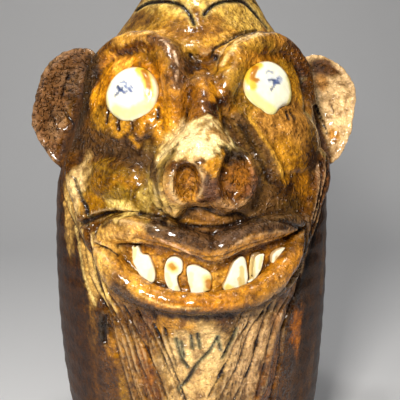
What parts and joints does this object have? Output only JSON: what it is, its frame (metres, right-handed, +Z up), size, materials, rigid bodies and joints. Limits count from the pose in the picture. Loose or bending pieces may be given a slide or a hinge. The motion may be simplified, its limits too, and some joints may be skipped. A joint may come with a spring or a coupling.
{
  "type": "face jug",
  "caption": "Stoneware face jug with a short rolled neck, strap handle at the back, bulging eyes, snout, gapped teeth, cupped ears and a combed beard under a runny brown glaze.",
  "frame": {"origin": "centre of the foot, on the plane it stands on", "axes": "+Z up along the jug, the face looks along -Y, the strap handle is at +Y, +X is to the right of someone who looks at the face"},
  "size_m": [0.1639, 0.1907, 0.268],
  "materials": {
    "brown_glaze": "runny gloss glaze, amber on the ridges and dark brown in the hollows",
    "eye_white": "white clay under clear gloss, with a little glaze run onto it",
    "tooth_white": "white clay under thin clear gloss"
  },
  "bodies": {
    "root": {"jug_body": "brown_glaze", "eye_left": "eye_white", "eye_right": "eye_white", "tooth_1": "tooth_white", "tooth_2": "tooth_white", "tooth_3": "tooth_white", "tooth_4": "tooth_white", "tooth_5": "tooth_white", "tooth_6": "tooth_white"}
  },
  "joints": []
}
